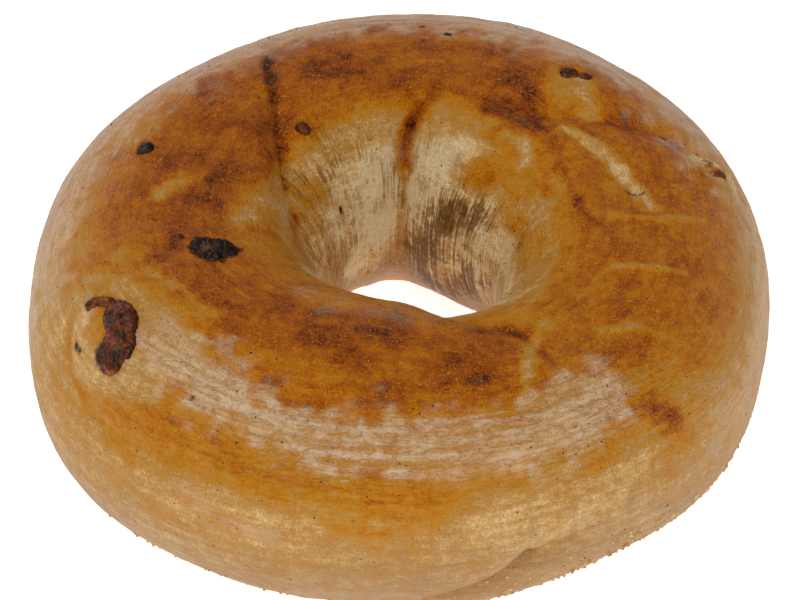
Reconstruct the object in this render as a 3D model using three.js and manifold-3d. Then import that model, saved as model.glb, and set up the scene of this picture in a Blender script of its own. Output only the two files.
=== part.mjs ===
// A raisin bagel: one ring of boiled and baked dough with raisins showing in its crust. Millimetres, +Z
// up. The ring lies flat on z = 0, centred over the origin, and its rolled ends meet at the front right.
//
// A point of the crust is named by two angles in degrees. turn runs round the ring, from 0 at +X through
// 90 at +Y. roll runs round the dough itself: 0 is the outermost edge, 90 the crown, 180 the wall of the
// hole, 270 the foot.

import * as THREE from "three";
import { mergeVertices } from "three/addons/utils/BufferGeometryUtils.js";
import Module from "manifold-3d";

// Sizes of the ring at twelve stations, one every 30 degrees of turn from +X, joined by a smooth closed
// curve.
const OUTER_RADIUS = [55.5, 57.2, 58.0, 57.2, 55.8, 56.1, 55.7, 57.0, 54.1, 52.0, 52.8, 55.6];
const HOLE_RADIUS = [14.2, 12.6, 11.6, 14.4, 14.2, 13.2, 12.2, 11.0, 9.8, 10.0, 14.6, 15.4];
const CROWN_HEIGHT = [39.6, 39.6, 39.9, 39.6, 39.6, 39.9, 40.4, 41.0, 41.0, 40.6, 39.6, 39.2];

// The section is a fuller oval above its widest point and a rounder one below, cut off flat where it lies
// on the tray. Folds and swellings fade out over the last millimetres above the foot.
const WAIST_HEIGHT = 19.5;
const CROWN_POWER = 2.2;
const FOOT_POWER = 2.12;
const FOOT_SINK = 1.5;
const FOOT_FADE = 3;

// The even ring whose points are moved to the crust, and how finely it is divided.
const EVEN_RADIUS = 34;
const EVEN_HALF_WIDTH = 21;
const RING_STEPS = 114;
const SECTION_STEPS = 44;
const MERGE_DISTANCE = 1e-3;

// Between two given points a fold's path takes this many steps. The power rounds off the fold's two ends.
const PATH_STEPS = 6;
const FOLD_END_POWER = 0.5;

// The hand-rolled unevenness of the whole ring: waves of a height in millimetres that repeat so many times
// along the ring and round the dough. The first one leans to and fro instead of going round.
const LEANING_WAVE = { height: 0.12, along: 5, lean: 2.1 };
const ROUND_WAVES = [
  { height: 0.1, along: 9, round: 3, start: 0.7 },
  { height: 0.1, along: -4, round: 3, start: 0 },
];

// Where the rolled dough tucks against itself or its skin has cracked: a rounded groove along a path of
// [turn, roll].
const FOLDS = [
  {
    name: "left tuck",
    path: [[126, 94], [131, 108], [138, 121], [147, 136], [156, 150], [165, 168]],
    width: 3.2,
    depth: 2.2,
  },
  {
    name: "far groove",
    path: [[79, 106], [85, 123], [88, 138], [89, 155], [90, 172], [91, 190], [92, 212], [93, 236]],
    width: 2.6,
    depth: 2.4,
  },
  {
    name: "right pleat",
    path: [[19, 124], [11, 138], [6, 153], [12, 170], [19, 188], [25, 212]],
    width: 2.6,
    depth: 1.2,
  },
  {
    name: "front tuck",
    path: [[280, 156], [286, 134], [293, 116], [301, 105], [304, 94], [303, 80]],
    width: 3.2,
    depth: 1.4,
  },
  {
    name: "back seam",
    path: [[62, 113], [52, 105], [44, 99], [38, 90], [30, 81], [24, 69], [16, 55]],
    width: 2.8,
    depth: 1.1,
  },
  { name: "edge split", path: [[22, 62], [18, 52], [14, 43], [10, 33]], width: 2.4, depth: 0.9 },
  {
    name: "blister foot",
    path: [[203, 44], [208, 34], [215, 27], [226, 25], [240, 28]],
    width: 3.2,
    depth: 0.6,
  },
  {
    name: "lower lip",
    path: [[287, -32], [289, -20], [291, -9], [298, -5], [308, -6]],
    width: 3.0,
    depth: 0.9,
  },
];

// Broad swellings and hollows of the crust: a soft oval of half-lengths [along the ring, round the dough]
// in millimetres.
const SWELLS = [
  { name: "raisin blister", at: [212, 57], size: [13, 9], height: 1.3 },
  { name: "front arm crown", at: [262, 98], size: [24, 9], height: 0.9 },
  { name: "right lobe", at: [36, 126], size: [9, 8], height: 1.2 },
  { name: "far lobe", at: [76, 172], size: [6, 14], height: 0.8 },
  { name: "back raisin bulge", at: [45, 74], size: [7, 5], height: 0.8 },
  { name: "scar hollow", at: [8, 91], size: [7, 4], height: -0.9 },
  { name: "split lip", at: [12, 50], size: [6, 4], height: 0.9 },
  { name: "skin hollow", at: [240, 42], size: [16, 7], height: -0.4 },
  { name: "curled skin", at: [280, -34], size: [8, 7], height: 1.0 },
  { name: "dented heel", at: [307, -28], size: [9, 8], height: -0.7 },
];

// Raisins: the place of the middle, half-sizes [along the ring, round the dough, thick], spin in degrees,
// and how far the middle lies below the crust. The wrinkles are waves over the oval, along it, across it,
// slanting and twisted.
const RAISIN_GAP = 0.3;
const RAISIN_DETAIL = 3;
const WRINKLE = { depth: 0.09, along: 5, across: 6, slant: 4, twist: 7 };
const FRAME_STEP = 0.02;
const RAISINS = [
  { name: "raisin_left", at: [211, 57], half: [6.4, 3.4, 2.6], spin: -28, sunk: 1.6 },
  { name: "raisin_charred", at: [201.3, 101.5], half: [3.5, 2.7, 2.0], spin: 71, sunk: 0.7 },
  { name: "raisin_side", at: [161.3, 76], half: [1.9, 1.5, 1.4], spin: 0, sunk: 0.7 },
  { name: "raisin_far", at: [126.2, 117.6], half: [1.6, 1.4, 1.4], spin: 70, sunk: 0.7 },
  { name: "raisin_back", at: [47.5, 79], half: [3.0, 2.3, 1.8], spin: 50, sunk: 0.9 },
  { name: "raisin_edge", at: [12.5, 54], half: [2.0, 1.3, 1.3], spin: 60, sunk: 1.0 },
];

const DOUGH_LOOK = { color: 0xc08440, roughness: 0.5, metalness: 0 };
const RAISIN_LOOK = { color: 0x4a2418, roughness: 0.45, metalness: 0 };
const CHARRED_LOOK = { color: 0x1c1412, roughness: 0.6, metalness: 0 };

const { degToRad, clamp, euclideanModulo } = THREE.MathUtils;
const TURN = 2 * Math.PI;

// The value at an angle of a smooth closed curve through evenly spaced stations.
function atStation(stations, turn) {
  const place = (euclideanModulo(turn, TURN) / TURN) * stations.length;
  const before = Math.floor(place);
  const f = place - before;
  const [p0, p1, p2, p3] = [-1, 0, 1, 2].map((k) => stations[euclideanModulo(before + k, stations.length)]);
  const bend = (2 * p0 - 5 * p1 + 4 * p2 - p3) * f ** 2 + (3 * p1 - p0 - 3 * p2 + p3) * f ** 3;
  return 0.5 * (2 * p1 + (p2 - p0) * f + bend);
}

// Signed power, which squares off the corners of a round section.
const squared = (value, power) => Math.sign(value) * Math.abs(value) ** (2 / power);

// The smooth dough before folds and swellings: distance from the axis, height, and half the width of the
// section.
function smoothDough(turn, roll) {
  const outer = atStation(OUTER_RADIUS, turn);
  const hole = atStation(HOLE_RADIUS, turn);
  const crown = atStation(CROWN_HEIGHT, turn);
  const halfWidth = (outer - hole) / 2;
  const above = Math.sin(roll) >= 0;
  const power = above ? CROWN_POWER : FOOT_POWER;
  const rise = above ? crown - WAIST_HEIGHT : WAIST_HEIGHT + FOOT_SINK;
  const radius = (outer + hole) / 2 + halfWidth * squared(Math.cos(roll), power);
  return { radius, height: WAIST_HEIGHT + rise * squared(Math.sin(roll), power), halfWidth };
}

// Millimetres along the ring and round the dough from one place on the crust to another.
function stepBetween(place, turn, roll) {
  const { radius, halfWidth } = place;
  const along = Math.atan2(Math.sin(place.turn - turn), Math.cos(place.turn - turn)) * radius;
  const round = Math.atan2(Math.sin(place.roll - roll), Math.cos(place.roll - roll)) * halfWidth;
  return [along, round];
}

// A fold's path as closely spaced points in radians, with the share of its length at each.
function tracePath(path) {
  const knots = path.map(([turn, roll]) => new THREE.Vector3(degToRad(turn), degToRad(roll), 0));
  const curve = new THREE.CatmullRomCurve3(knots);
  const last = (path.length - 1) * PATH_STEPS;
  return curve.getPoints(last).map((point, i) => ({ turn: point.x, roll: point.y, share: i / last }));
}

const TRACED_FOLDS = FOLDS.map((fold) => ({ ...fold, points: tracePath(fold.path) }));

// How deep a fold cuts at a place: a rounded groove that runs out at both ends of its path.
function foldDepth(fold, place) {
  let nearest = Infinity;
  let share = 0;
  const steps = fold.points.map((point) => stepBetween(place, point.turn, point.roll));
  for (let i = 1; i < steps.length; i += 1) {
    const [ax, ay] = steps[i - 1];
    const [dx, dy] = [steps[i][0] - ax, steps[i][1] - ay];
    const f = clamp(-(ax * dx + ay * dy) / (dx * dx + dy * dy), 0, 1);
    const distance = Math.hypot(ax + f * dx, ay + f * dy);
    if (distance < nearest) {
      nearest = distance;
      share = fold.points[i - 1].share + f / (steps.length - 1);
    }
  }
  const ends = Math.sin(Math.PI * clamp(share, 0, 1)) ** FOLD_END_POWER;
  return fold.depth * Math.exp(-((nearest / fold.width) ** 2)) * ends;
}

// How far a swelling lifts the crust at a place.
function swellHeight(swell, place) {
  const [along, round] = stepBetween(place, degToRad(swell.at[0]), degToRad(swell.at[1]));
  return swell.height * Math.exp(-((along / swell.size[0]) ** 2) - (round / swell.size[1]) ** 2);
}

// How far the waves of unevenness lift the crust at a place.
function unevenness(turn, roll) {
  const { height, along, lean } = LEANING_WAVE;
  const leaning = height * Math.sin(along * turn + lean * Math.sin(roll));
  const waveAt = (wave) => wave.height * Math.sin(wave.along * turn + wave.round * roll + wave.start);
  return ROUND_WAVES.reduce((sum, wave) => sum + waveAt(wave), leaning);
}

// A point of the finished crust, before the ring is centred.
function crustPoint(turn, roll) {
  const { radius, height, halfWidth } = smoothDough(turn, roll);
  const place = { turn, roll, radius, halfWidth };
  const lift =
    unevenness(turn, roll) +
    SWELLS.reduce((sum, swell) => sum + swellHeight(swell, place), 0) -
    TRACED_FOLDS.reduce((sum, fold) => sum + foldDepth(fold, place), 0);
  const footFade = clamp(height / FOOT_FADE, 0, 1);
  const reach = radius + lift * footFade * Math.cos(roll);
  const z = Math.max(height + lift * footFade * Math.sin(roll), 0);
  return new THREE.Vector3(reach * Math.cos(turn), reach * Math.sin(turn), z);
}

// The ring of dough: a torus whose points are moved to the crust.
function makeDough() {
  const torus = new THREE.TorusGeometry(EVEN_RADIUS, EVEN_HALF_WIDTH, SECTION_STEPS, RING_STEPS);
  const { position, uv } = torus.attributes;
  for (let i = 0; i < position.count; i += 1) {
    const turn = (uv.getX(i) % 1) * TURN;
    const roll = (uv.getY(i) % 1) * TURN;
    const { x, y, z } = crustPoint(turn, roll);
    position.setXYZ(i, x, y, z);
  }
  return torus;
}

// The frame of the crust at a place: the point, and the directions along the ring, round the dough and
// outwards.
function crustFrame(turn, roll) {
  const point = crustPoint(turn, roll);
  const along = crustPoint(turn + FRAME_STEP, roll).sub(crustPoint(turn - FRAME_STEP, roll)).normalize();
  const slope = crustPoint(turn, roll + FRAME_STEP).sub(crustPoint(turn, roll - FRAME_STEP)).normalize();
  const out = new THREE.Vector3().crossVectors(along, slope).normalize();
  const round = new THREE.Vector3().crossVectors(out, along);
  return new THREE.Matrix4().makeBasis(along, round, out).setPosition(point);
}

// A raisin, or with a gap the pocket that holds it: a wrinkled oval lying in the crust.
function makeRaisin(raisin, gap) {
  const shape = new THREE.IcosahedronGeometry(1, RAISIN_DETAIL);
  const { position } = shape.attributes;
  const point = new THREE.Vector3();
  for (let i = 0; i < position.count; i += 1) {
    const { x, y, z } = point.fromBufferAttribute(position, i).normalize();
    const twisted = Math.sin(WRINKLE.along * x + WRINKLE.twist * y * z);
    const slanted = Math.cos(WRINKLE.across * y - WRINKLE.slant * x);
    const wrinkle = 1 + WRINKLE.depth * twisted * slanted;
    const [a, b, c] = raisin.half;
    position.setXYZ(i, x * (a * wrinkle + gap), y * (b * wrinkle + gap), z * (c * wrinkle + gap));
  }
  shape.rotateZ(degToRad(raisin.spin));
  shape.translate(0, 0, -raisin.sunk);
  return shape.applyMatrix4(crustFrame(degToRad(raisin.at[0]), degToRad(raisin.at[1])));
}

const wasm = await Module();
wasm.setup();

// A geometry as a solid that can be cut, and back.
function toSolid(geometry) {
  const bare = new THREE.BufferGeometry().setAttribute("position", geometry.getAttribute("position"));
  if (geometry.index) bare.setIndex(geometry.index);
  const merged = mergeVertices(bare, MERGE_DISTANCE);
  const triVerts = new Uint32Array(merged.index.array);
  const vertProperties = merged.attributes.position.array;
  return new wasm.Manifold(new wasm.Mesh({ numProp: 3, vertProperties, triVerts }));
}

function toGeometry(solid) {
  const { vertProperties, triVerts } = solid.getMesh();
  const geometry = new THREE.BufferGeometry();
  geometry.setAttribute("position", new THREE.BufferAttribute(new Float32Array(vertProperties), 3));
  geometry.setIndex(new THREE.BufferAttribute(new Uint32Array(triVerts), 1));
  geometry.computeVertexNormals();
  return geometry;
}

function makePiece(name, geometry, look) {
  const mesh = new THREE.Mesh(geometry, new THREE.MeshStandardMaterial(look));
  mesh.name = name;
  return mesh;
}

const ring = makeDough();
ring.computeBoundingBox();
const middle = ring.boundingBox.getCenter(new THREE.Vector3()).setZ(0);
const cutPocket = (solid, raisin) => solid.subtract(toSolid(makeRaisin(raisin, RAISIN_GAP)));
const dough = RAISINS.reduce(cutPocket, toSolid(ring));

const bagel = new THREE.Group();
bagel.add(makePiece("dough", toGeometry(dough), DOUGH_LOOK));
for (const raisin of RAISINS) {
  const look = raisin.name === "raisin_charred" ? CHARRED_LOOK : RAISIN_LOOK;
  bagel.add(makePiece(raisin.name, makeRaisin(raisin, 0), look));
}
bagel.children.forEach((piece) => piece.position.copy(middle).negate());

export default bagel;
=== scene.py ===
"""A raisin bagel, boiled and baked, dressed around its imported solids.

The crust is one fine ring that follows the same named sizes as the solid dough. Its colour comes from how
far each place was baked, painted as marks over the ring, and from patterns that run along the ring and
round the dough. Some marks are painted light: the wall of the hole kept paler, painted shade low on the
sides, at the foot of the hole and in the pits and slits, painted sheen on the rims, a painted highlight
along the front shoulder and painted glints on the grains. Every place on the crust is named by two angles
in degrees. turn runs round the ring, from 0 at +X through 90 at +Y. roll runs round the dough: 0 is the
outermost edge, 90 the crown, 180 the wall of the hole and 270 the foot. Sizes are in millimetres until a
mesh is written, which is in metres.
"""

import logging
import math
from dataclasses import dataclass, field
from enum import Enum

import bmesh
import bpy
import numpy as np
from mathutils import Matrix, Vector, noise


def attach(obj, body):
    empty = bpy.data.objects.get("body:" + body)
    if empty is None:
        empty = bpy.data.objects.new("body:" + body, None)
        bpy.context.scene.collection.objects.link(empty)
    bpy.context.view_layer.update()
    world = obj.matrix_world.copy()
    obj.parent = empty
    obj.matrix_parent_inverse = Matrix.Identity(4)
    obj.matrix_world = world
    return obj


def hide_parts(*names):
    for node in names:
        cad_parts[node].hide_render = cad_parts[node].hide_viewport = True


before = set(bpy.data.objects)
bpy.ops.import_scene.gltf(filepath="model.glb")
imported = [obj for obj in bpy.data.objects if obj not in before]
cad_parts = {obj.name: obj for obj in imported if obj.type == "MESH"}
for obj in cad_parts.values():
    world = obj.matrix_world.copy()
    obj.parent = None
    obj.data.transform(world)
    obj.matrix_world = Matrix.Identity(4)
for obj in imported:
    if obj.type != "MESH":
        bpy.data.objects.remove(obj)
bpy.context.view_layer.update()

LOG = logging.getLogger("bagel")

MM = 0.001
BODY = "root"
WHITE = (1.0, 1.0, 1.0, 1.0)

# Where the ring's own axis stands from the middle of its outline.
AXIS = np.array([0.0, -2.77, 0.0])

Socket = bpy.types.NodeSocket
Pair = tuple[float, float]
Triple = tuple[float, float, float]

# A line over the crust, by turn and roll in degrees.
Path = tuple[Pair, ...]

# The stops of a ramp, each a level and an sRGB hex colour.
Stops = tuple[tuple[float, str], ...]

# The patterns that add up to a level, each by its name and how much of it is added.
Shares = tuple[tuple[str, float], ...]


class Layer(Enum):
    """What a mark changes in the crust."""

    BAKE = "bake"
    # Rosy skin, with painted sheen on the rims and a painted highlight along the front shoulder.
    ROSE = "rose"
    SPICE = "spice"
    # Char, and painted shade in the pits and slits.
    CHAR_AND_PIT_SHADE = "char_and_pit_shade"
    # Painted shade low on the sides and at the foot of the hole, and painted grey sheen on the back and left
    # rims.
    PAINTED_SHADE_AND_SHEEN = "painted_shade_and_sheen"
    WRINKLE = "wrinkle"
    STRIAE = "striae"


def linear(code: str) -> tuple[float, float, float, float]:
    """Turns an sRGB hex colour into the linear colour that a shader wants.

    Args:
        code: Six hex digits with a leading hash.

    Returns:
        Red, green, blue and an alpha of one.
    """
    parts = [int(code[i : i + 2], 16) / 255 for i in (1, 3, 5)]
    bent = [c / 12.92 if c <= 0.04045 else ((c + 0.055) / 1.055) ** 2.4 for c in parts]
    return (bent[0], bent[1], bent[2], 1.0)


def smooth_step(value: np.ndarray) -> np.ndarray:
    """Eases a value from nought to one."""
    held = np.clip(value, 0, 1)
    return held * held * (3 - 2 * held)


def wrapped(angle: np.ndarray) -> np.ndarray:
    """Brings a difference of angles into the half turn either side of nought."""
    return (angle + math.pi) % (2 * math.pi) - math.pi


def curve_between(knots: tuple[np.ndarray, ...], share: float | np.ndarray) -> np.ndarray:
    """The smooth curve between the middle two of four knots.

    Args:
        knots: Four knots in their order along the curve.
        share: How far from the second knot to the third.

    Returns:
        The point on the curve.
    """
    p0, p1, p2, p3 = knots
    bend = (2 * p0 - 5 * p1 + 4 * p2 - p3) * share**2 + (3 * p1 - p0 - 3 * p2 + p3) * share**3
    return 0.5 * (2 * p1 + (p2 - p0) * share + bend)


def rough_noise(place: Vector) -> float:
    """Smooth fractal noise at one place, each octave twice as fine and half as strong."""
    fall, finer, octaves = 1.0, 2.0, 3
    return noise.fractal(place, fall, finer, octaves)


def noise_at(points: np.ndarray, size: float, seed: float) -> np.ndarray:
    """Smooth fractal noise, about -1 to 1.

    Args:
        points: One row of millimetres for each place.
        size: The width of the largest lumps in millimetres.
        seed: Moves the pattern, so that two fields differ.

    Returns:
        One value for each place.
    """
    scaled = points / size + seed
    return np.array([rough_noise(Vector(p)) for p in scaled.tolist()])


@dataclass(frozen=True)
class Trace:
    """A line over the crust through points of turn and roll in degrees."""

    path: Path
    substeps: int = 4

    def points(self) -> np.ndarray:
        """The line as close points in radians, on a smooth curve through its own."""
        knots = np.unwrap(np.radians(np.array(self.path, float)), axis=0)
        if len(knots) < 3:
            return knots
        ends = np.vstack([2 * knots[0] - knots[1], knots, 2 * knots[-1] - knots[-2]])
        out = []
        for i in range(1, len(ends) - 2):
            for k in range(self.substeps):
                out.append(curve_between(ends[i - 1 : i + 3], k / self.substeps))
        out.append(knots[-1])
        return np.array(out)

    def measure(self, place: "Places", reach: float) -> tuple[np.ndarray, np.ndarray, np.ndarray]:
        """How far the places beside the line are from it.

        Args:
            place: The places on the crust.
            reach: The distance in millimetres past which a place is left out.

        Returns:
            The numbers of the places within reach, their distances in millimetres, and for each the
            share of the line's length at its nearest point.
        """
        line = self.points()
        low, high = line.min(0), line.max(0)
        middle, spread = (low + high) / 2, (high - low) / 2
        beside = np.abs(wrapped(middle[0] - place.turn)) * place.radius < spread[0] * place.radius + reach
        beside &= np.abs(wrapped(middle[1] - place.roll)) * place.half < spread[1] * place.half + reach
        at = np.nonzero(beside)[0]
        radius, half = place.radius[at], place.half[at]
        along = wrapped(middle[0] - place.turn[at]) * radius + (line[0, 0] - middle[0]) * radius
        around = wrapped(middle[1] - place.roll[at]) * half + (line[0, 1] - middle[1]) * half
        near = np.hypot(along, around)
        share = np.zeros(len(at))
        for i in range(1, len(line)):
            dx = (line[i, 0] - line[i - 1, 0]) * radius
            dy = (line[i, 1] - line[i - 1, 1]) * half
            f = np.clip(-(along * dx + around * dy) / (dx * dx + dy * dy), 0, 1)
            distance = np.hypot(along + f * dx, around + f * dy)
            closer = distance < near
            near[closer] = distance[closer]
            share[closer] = (i - 1 + f[closer]) / (len(line) - 1)
            along = along + dx
            around = around + dy
        return at, near, share


@dataclass(frozen=True)
class Fold:
    """A rounded groove along a line, or a ridge where its depth is less than nought."""

    path: Path
    width: float
    depth: float

    def cut(self, place: "Places") -> np.ndarray:
        """How deep the fold cuts at each place, in millimetres."""
        at, near, share = Trace(self.path).measure(place, 3 * self.width)
        ends = np.sqrt(np.sin(math.pi * np.clip(share, 0, 1)).clip(0, 1))
        cut = np.zeros(place.turn.shape)
        cut[at] = self.depth * np.exp(-((near / self.width) ** 2)) * ends
        return cut


@dataclass(frozen=True)
class Swell:
    """A soft oval swelling or hollow: half-lengths along the ring and round the dough."""

    at: Pair
    size: Pair
    height: float

    def lift(self, place: "Places") -> np.ndarray:
        """How far the swelling lifts each place, in millimetres."""
        along = wrapped(place.turn - math.radians(self.at[0])) * place.radius
        around = wrapped(place.roll - math.radians(self.at[1])) * place.half
        return self.height * np.exp(-((along / self.size[0]) ** 2) - (around / self.size[1]) ** 2)


@dataclass(frozen=True)
class Mark:
    """A brushed mark that draws one layer of the crust towards a level."""

    level: float
    path: Path
    width: float
    soft: float
    ragged: float = 0.6
    strength: float = 1.0

    def paint(self, values: np.ndarray, place: "Places", rough: np.ndarray) -> np.ndarray:
        """Lays the mark over a layer.

        Args:
            values: The layer before the mark.
            place: The places on the crust.
            rough: Noise that breaks the mark's edge.

        Returns:
            The layer with the mark in it.
        """
        at, near, _ = Trace(self.path).measure(place, self.width + 3 * self.soft)
        edge = self.width - near + rough[at] * self.ragged * self.soft
        cover = smooth_step(edge / (2 * self.soft) + 0.5) * self.strength
        painted = values.copy()
        painted[at] += (self.level - values[at]) * cover
        return painted


@dataclass
class Places:
    """Places on the crust: their angles in radians and the size of the dough there."""

    turn: np.ndarray
    roll: np.ndarray
    radius: np.ndarray = field(init=False)
    height: np.ndarray = field(init=False)
    half: np.ndarray = field(init=False)


# The folds of the solid dough.
FOLDS: dict[str, Fold] = {
    "left tuck": Fold(((126, 94), (131, 108), (138, 121), (147, 136), (156, 150), (165, 168)), 3.2, 2.2),
    "far groove": Fold(
        ((79, 106), (85, 123), (88, 138), (89, 155), (90, 172), (91, 190), (92, 212), (93, 236)), 2.6, 2.4
    ),
    "right pleat": Fold(((19, 124), (11, 138), (6, 153), (12, 170), (19, 188), (25, 212)), 2.6, 1.2),
    "front tuck": Fold(((280, 156), (286, 134), (293, 116), (301, 105), (304, 94), (303, 80)), 3.2, 1.4),
    "back seam": Fold(((62, 113), (52, 105), (44, 99), (38, 90), (30, 81), (24, 69), (16, 55)), 2.8, 1.1),
    "edge split": Fold(((22, 62), (18, 52), (14, 43), (10, 33)), 2.4, 0.9),
    "blister foot": Fold(((203, 44), (208, 34), (215, 27), (226, 25), (240, 28)), 3.2, 0.6),
    "lower lip": Fold(((272, -32), (281, -22), (287, -16), (290, -8), (296, -4), (304, -4)), 2.6, 0.9),
}

# The swellings and hollows of the dough.
SWELLS: dict[str, Swell] = {
    "raisin blister": Swell((212, 57), (13, 9), 1.3),
    "front arm crown": Swell((262, 98), (24, 9), 0.9),
    "right lobe": Swell((36, 126), (9, 8), 1.2),
    "far lobe": Swell((76, 172), (6, 14), 0.8),
    "back raisin bulge": Swell((45, 74), (7, 5), 0.8),
    "scar hollow": Swell((8, 91), (7, 4), -0.9),
    "split lip": Swell((12, 50), (6, 4), 0.9),
    "skin hollow": Swell((240, 42), (16, 7), -0.4),
    "curled skin": Swell((280, -34), (8, 7), 1.0),
    "dented heel": Swell((307, -28), (9, 8), -0.7),
    "left wall foot": Swell((152, 206), (9, 9), 1.4),
    "right wall foot": Swell((34, 206), (8, 10), -1.1),
}


@dataclass
class RingForm:
    """The dough's form, by the same sizes as the solid: stations stand every 30 degrees of turn."""

    outer: tuple[float, ...] = (55.5, 57.2, 58.0, 57.2, 55.8, 56.1, 55.7, 57.0, 54.1, 52.0, 52.8, 55.6)
    hole: tuple[float, ...] = (14.2, 12.6, 11.6, 14.4, 14.2, 13.2, 12.2, 11.0, 9.8, 10.0, 14.6, 15.4)
    crown: tuple[float, ...] = (39.6, 39.6, 39.9, 39.6, 39.6, 39.9, 40.4, 41.0, 41.0, 40.6, 39.6, 39.2)
    waist: float = 19.5
    crown_power: float = 2.2
    foot_power: float = 2.12
    foot_sink: float = 1.5
    settled_height: float = 3.0
    frame_step: float = 0.02

    @staticmethod
    def station(values: tuple[float, ...], turn: np.ndarray) -> np.ndarray:
        """The value at an angle of the smooth closed curve through the stations."""
        stations = np.array(values)
        count = len(stations)
        along = (turn / (2 * math.pi) * count) % count
        before = np.floor(along).astype(int)
        f = along - before
        return curve_between(tuple(stations[(before + k) % count] for k in (-1, 0, 1, 2)), f)

    def places(self, turn: np.ndarray, roll: np.ndarray) -> Places:
        """Measures the smooth dough at each pair of angles."""
        place = Places(turn, roll)
        outer, hole, crown = (self.station(v, turn) for v in (self.outer, self.hole, self.crown))
        above = np.sin(roll) >= 0
        power = 2 / np.where(above, self.crown_power, self.foot_power)
        rise = np.where(above, crown - self.waist, self.waist + self.foot_sink)
        cos, sin = np.cos(roll), np.sin(roll)
        place.half = (outer - hole) / 2
        place.radius = (outer + hole) / 2 + place.half * np.sign(cos) * np.abs(cos) ** power
        place.height = self.waist + rise * np.sign(sin) * np.abs(sin) ** power
        return place

    @staticmethod
    def unevenness(turn: np.ndarray, roll: np.ndarray) -> np.ndarray:
        """The hand-rolled unevenness of the whole ring: three shallow waves that close on themselves."""
        broad = 0.12 * np.sin(5 * turn + 2.1 * np.sin(roll))
        skewed = 0.1 * np.sin(9 * turn + 3 * roll + 0.7)
        crossed = 0.1 * np.sin(3 * roll - 4 * turn)
        return broad + skewed + crossed

    def lift(self, place: Places) -> np.ndarray:
        """How far folds and swellings move each place out from the smooth dough."""
        total = self.unevenness(place.turn, place.roll)
        for swell in SWELLS.values():
            total = total + swell.lift(place)
        for fold in FOLDS.values():
            total = total - fold.cut(place)
        return total

    def points(self, place: Places, lift: np.ndarray) -> np.ndarray:
        """Where each place lies, in millimetres, once it is lifted."""
        held = lift * np.clip(place.height / self.settled_height, 0, 1)
        reach = place.radius + held * np.cos(place.roll)
        z = np.maximum(place.height + held * np.sin(place.roll), 0)
        return np.stack([reach * np.cos(place.turn), reach * np.sin(place.turn), z], 1) + AXIS

    def frames_at(self, turn: np.ndarray, roll: np.ndarray) -> list[Matrix]:
        """The crust's frames at some places.

        Args:
            turn: Angles round the ring in radians.
            roll: Angles round the dough in radians.

        Returns:
            For each place a matrix with its point, and the ways along the ring, round the dough and out.
        """
        step = self.frame_step
        turns = (turn, turn + step, turn - step, turn, turn)
        rolls = (roll, roll, roll, roll + step, roll - step)
        spots = []
        for t, r in zip(turns, rolls):
            place = self.places(t, r)
            spots.append(self.points(place, self.lift(place)))
        along = spots[1] - spots[2]
        along /= np.linalg.norm(along, axis=1)[:, None]
        out = np.cross(along, spots[3] - spots[4])
        out /= np.linalg.norm(out, axis=1)[:, None]
        ways = zip(spots[0].tolist(), along.tolist(), np.cross(out, along).tolist(), out.tolist())
        return [Matrix.Translation(at) @ Matrix((x, y, z)).transposed().to_4x4() for at, x, y, z in ways]

    def frame_at(self, turn: float, roll: float) -> Matrix:
        """The frame of the crust at one place, in degrees."""
        return self.frames_at(np.radians([turn]), np.radians([roll]))[0]


def add_node(tree: bpy.types.NodeTree, kind: str, settings: dict, sockets: dict) -> bpy.types.Node:
    """Adds a node with its settings and its inputs.

    Args:
        tree: The tree that gets the node.
        kind: The node's type.
        settings: Values of the node's own properties.
        sockets: For each input, by name or number, a value or the output that feeds it.

    Returns:
        The new node.
    """
    made = tree.nodes.new(kind)
    for name, value in settings.items():
        setattr(made, name, value)
    for name, value in sockets.items():
        if isinstance(value, Socket):
            tree.links.new(value, made.inputs[name])
        else:
            made.inputs[name].default_value = value
    return made


def make_object(name: str, mesh: bpy.types.Mesh, material: bpy.types.Material) -> bpy.types.Object:
    """Links a mesh into the scene as an object at the origin with one material."""
    made = bpy.data.objects.new(name, mesh)
    bpy.context.scene.collection.objects.link(made)
    mesh.materials.append(material)
    mesh.shade_smooth()
    return made


def mesh_from(shape: bmesh.types.BMesh, name: str) -> bpy.types.Mesh:
    """Turns a finished shape into a mesh and frees the shape."""
    mesh = bpy.data.meshes.new(name)
    shape.to_mesh(mesh)
    shape.free()
    return mesh


def new_material(name: str) -> bpy.types.Material:
    """A material whose tree of nodes is still empty."""
    made = bpy.data.materials.new(name)
    made.use_nodes = True
    made.node_tree.nodes.clear()
    return made


def add_ramp(tree: bpy.types.NodeTree, value: Socket, stops: Stops) -> Socket:
    """Adds a ramp of colours.

    Args:
        tree: The tree that gets the ramp.
        value: The level that picks the colour.
        stops: Each stop's level and its sRGB hex colour.

    Returns:
        The colour at that level.
    """
    ramp = add_node(tree, "ShaderNodeValToRGB", {}, {"Fac": value})
    elements = ramp.color_ramp.elements
    for stop, _ in stops[1:-1]:
        elements.new(stop)
    for element, (stop, code) in zip(elements, stops):
        element.position = stop
        element.color = linear(code)
    return ramp.outputs["Color"]


def add_surface(tree: bpy.types.NodeTree, sockets: dict) -> None:
    """Ends a tree with its surface and the output."""
    skin = add_node(tree, "ShaderNodeBsdfPrincipled", {}, sockets)
    add_node(tree, "ShaderNodeOutputMaterial", {}, {"Surface": skin.outputs[0]})


# Inputs and output of a colour Mix node, whose names repeat for each kind of value.
MIX_A = 6
MIX_B = 7
MIX_OUT = 2


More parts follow.
